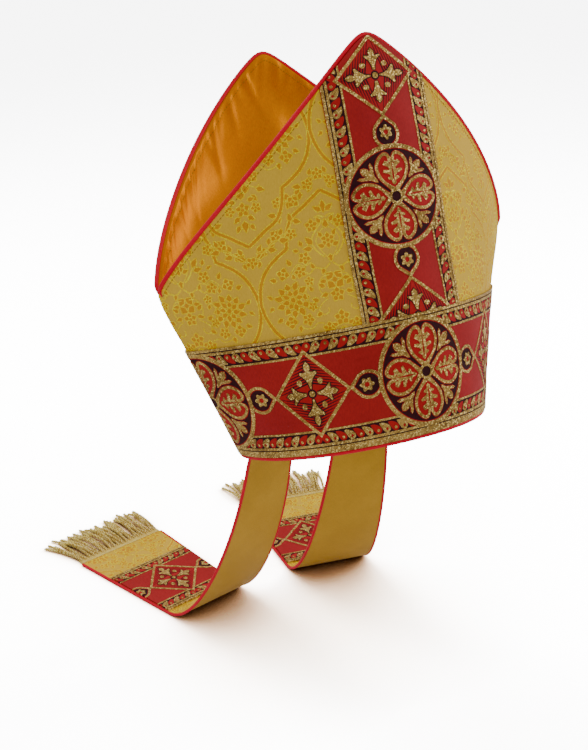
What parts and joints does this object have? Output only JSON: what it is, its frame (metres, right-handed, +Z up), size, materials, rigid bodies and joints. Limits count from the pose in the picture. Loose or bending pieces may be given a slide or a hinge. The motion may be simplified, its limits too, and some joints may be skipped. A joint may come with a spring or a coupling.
{
  "type": "bishop mitre",
  "caption": "Bishop's mitre: stiffened gold brocade crown with two pointed horns, satin valley, red and gold galloon, red piping and fringed lappets.",
  "frame": {"origin": "midway between the side seams on the level of the rim, where the crown sits round the head", "axes": "+Z up, the front horn faces -Y, the wearer's right is -X, the lappets hang down and run back along +Y"},
  "size_m": [0.3176, 0.4712, 0.5457],
  "materials": {
    "gold_brocade": "figured gold brocade with metallic outlines, half matt",
    "orange_satin": "glossy golden orange satin",
    "crimson_galloon": "woven crimson galloon with gold metallic figures",
    "red_piping": "bright crimson corded piping",
    "gold_bullion": "twisted pale gold bullion thread"
  },
  "bodies": {
    "root": {"front_panel": "gold_brocade", "back_panel": "gold_brocade", "horn_gusset": "orange_satin", "base_band": "crimson_galloon", "front_orphrey": "crimson_galloon", "back_orphrey": "crimson_galloon", "front_piping": "red_piping", "back_piping": "red_piping", "rim_piping": "red_piping", "lappet_right": "gold_brocade", "lappet_galloon_right": "crimson_galloon", "lappet_piping_right_outer": "red_piping", "lappet_piping_right_inner": "red_piping", "lappet_fringe_right": "gold_bullion", "lappet_left": "gold_brocade", "lappet_galloon_left": "crimson_galloon", "lappet_piping_left_outer": "red_piping", "lappet_piping_left_inner": "red_piping", "lappet_fringe_left": "gold_bullion"}
  },
  "joints": []
}
